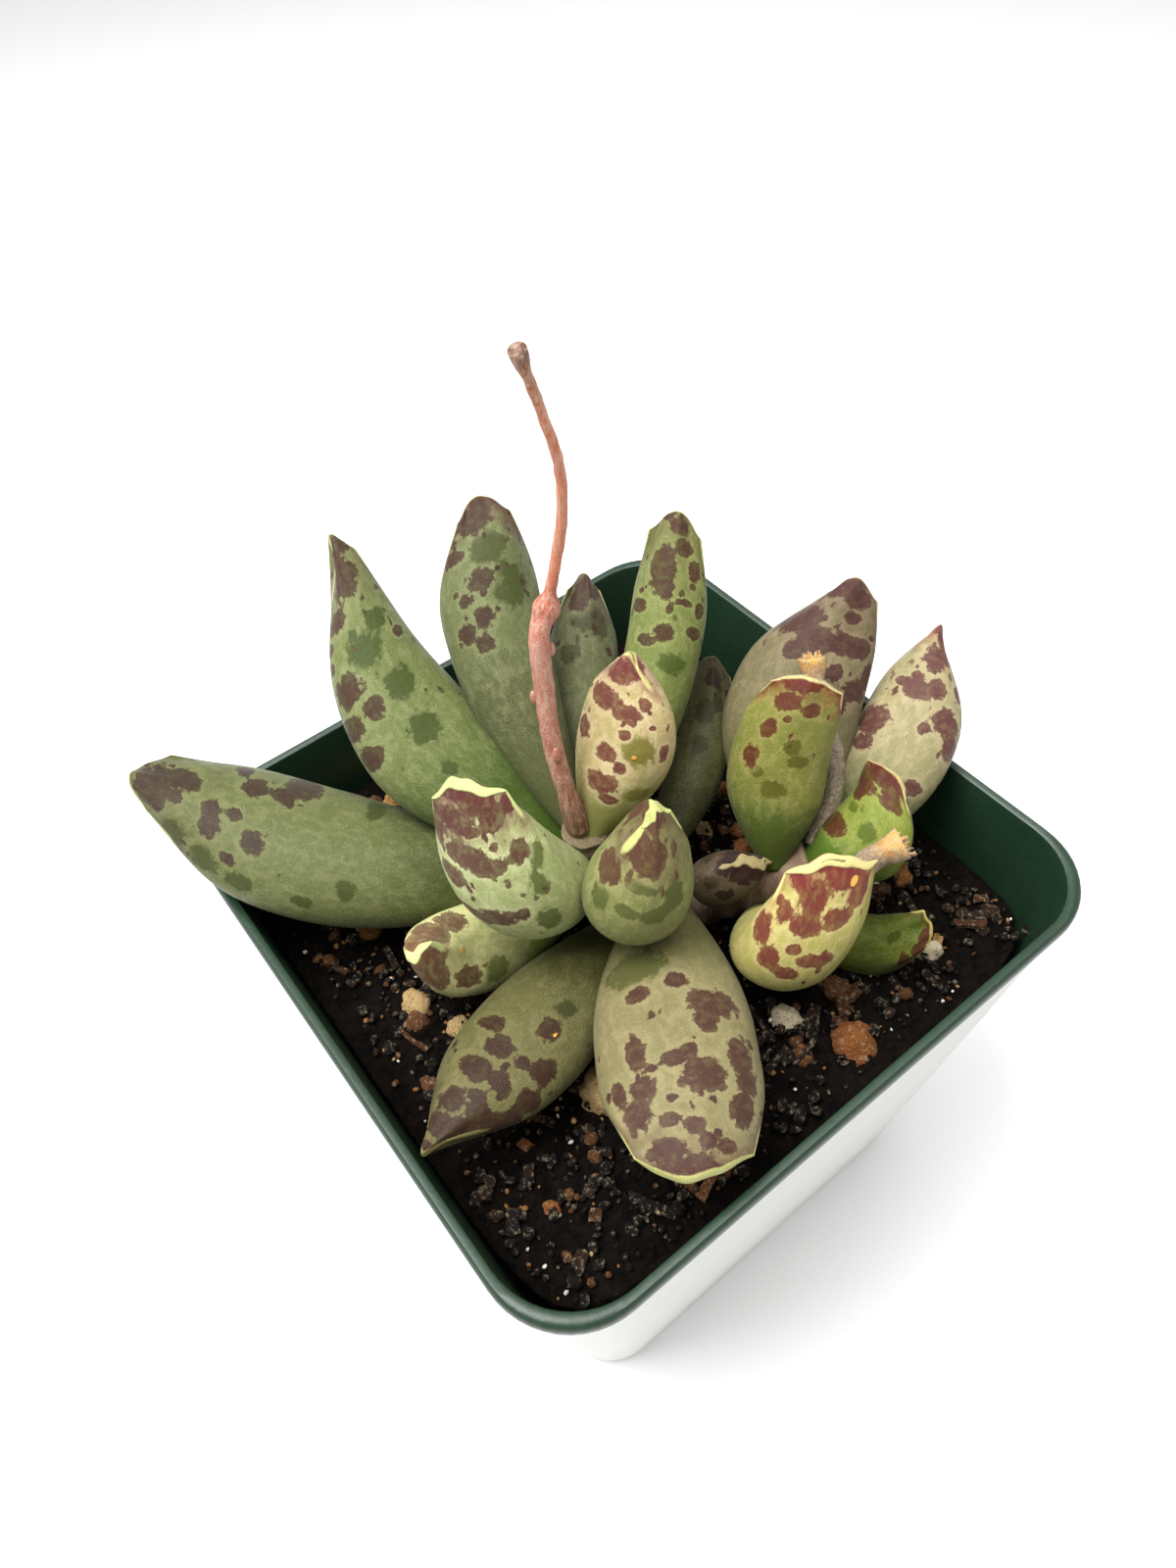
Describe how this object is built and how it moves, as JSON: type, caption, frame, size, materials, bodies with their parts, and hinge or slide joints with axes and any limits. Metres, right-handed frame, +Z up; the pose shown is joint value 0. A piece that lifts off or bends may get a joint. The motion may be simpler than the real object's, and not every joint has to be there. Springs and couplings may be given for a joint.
{
  "type": "potted plover eggs plant",
  "caption": "Small spotted succulent with wavy-tipped leaves, a flower stalk and cut stalks, growing in a square plastic nursery pot.",
  "frame": {"origin": "centre of the pot's underside, on the face it stands on", "axes": "+Z up out of the pot, +X and +Y along the pot's square sides; seen from the picture's side, +X runs to the back right and +Y to the back left"},
  "size_m": [0.0684, 0.0637, 0.1057],
  "materials": {
    "pot": "satin white outside, dark green lip and inside",
    "soil": "rough dark potting mix with bark, pumice and white grit",
    "stem": "dull reddish-brown bark",
    "flower_stalk": "smooth pinkish-brown to salmon orange",
    "dry_stalk": "dry greyish brown with torn orange-yellow ends",
    "leaf": "waxy grey-green with purple-brown spots and a cream wavy tip"
  },
  "bodies": {
    "root": {"pot": "pot", "soil": "soil", "stems": "stem", "flower_stalk": "flower_stalk", "cut_stalk_back": "dry_stalk", "cut_stalk_right": "dry_stalk", "leaf_left_low": "leaf", "leaf_left_tall": "leaf", "leaf_back_left": "leaf", "leaf_left_upright": "leaf", "leaf_left_small": "leaf", "leaf_front_left": "leaf", "leaf_front_large": "leaf", "leaf_centre_front": "leaf", "leaf_centre_back": "leaf", "leaf_back_small": "leaf", "leaf_back_tall": "leaf", "leaf_back_short": "leaf", "leaf_right_broad": "leaf", "leaf_right_upright": "leaf", "leaf_right_pointed": "leaf", "leaf_right_middle": "leaf", "leaf_right_front": "leaf", "leaf_right_low": "leaf", "leaf_centre_small": "leaf"}
  },
  "joints": []
}
